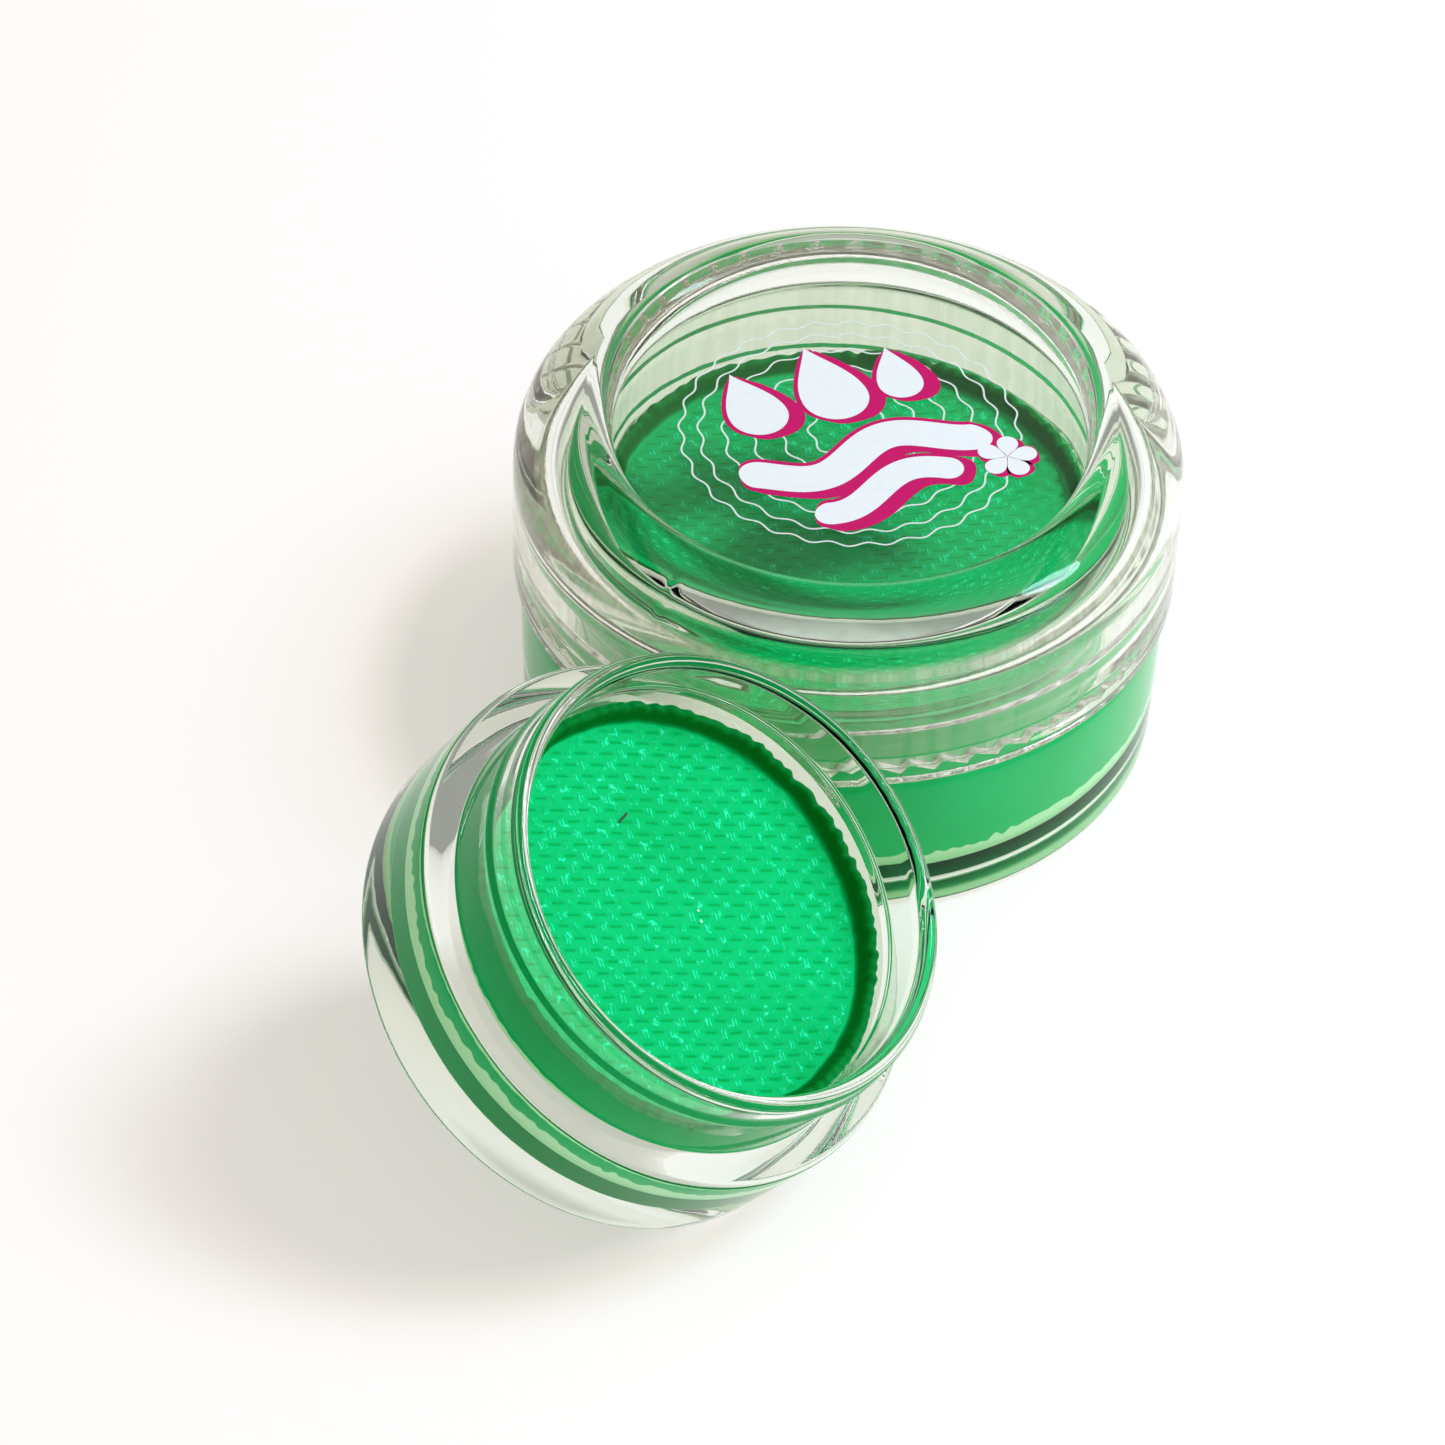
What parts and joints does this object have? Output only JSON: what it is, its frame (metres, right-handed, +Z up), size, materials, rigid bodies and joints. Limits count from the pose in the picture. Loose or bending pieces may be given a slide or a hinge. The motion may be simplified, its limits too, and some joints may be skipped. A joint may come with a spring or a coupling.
{
  "type": "screw-lid paint pots",
  "caption": "Clear screw-lid pots of pressed green water-activated paint: a closed large pot with an open small one leaning on its lid.",
  "frame": {"origin": "middle of the large pot's base, on the surface that the pots stand on", "axes": "+Z up along the large pot's axis; -Y towards the small pot's side of the group; +X to the right when the small pot is in front"},
  "size_m": [0.0455, 0.0686, 0.0273],
  "materials": {
    "clear_plastic": "clear, polished mould finish",
    "pressed_paint": "waxy satin, pressed with a woven relief",
    "label_film": "clear gloss film with an opaque print"
  },
  "bodies": {
    "large_pot": {"large_jar": "clear_plastic", "large_paint": "pressed_paint"},
    "label": {"lid_label": "label_film"},
    "lid": {"large_lid": "clear_plastic"},
    "small_pot": {"small_jar": "clear_plastic", "small_paint": "pressed_paint"}
  },
  "joints": [
    {"name": "lid_lift", "type": "slide", "parent": "large_pot", "child": "label", "axis": [0, 0, 1], "range_m": [0, 0.009]},
    {"name": "lid_turn", "type": "hinge", "parent": "label", "child": "lid", "pos_m": [0, 0, 0.015], "axis": [0, 0, 1], "range_deg": [0, 1080]},
    {"name": "small_pot_lift", "type": "slide", "parent": "large_pot", "child": "small_pot", "axis": [0, 0, 1], "range_m": [0, 0.025]}
  ],
  "couplings": [
    {"joint": "lid_lift", "follows": "lid_turn", "m_per_rad": 0.00047746}
  ]
}
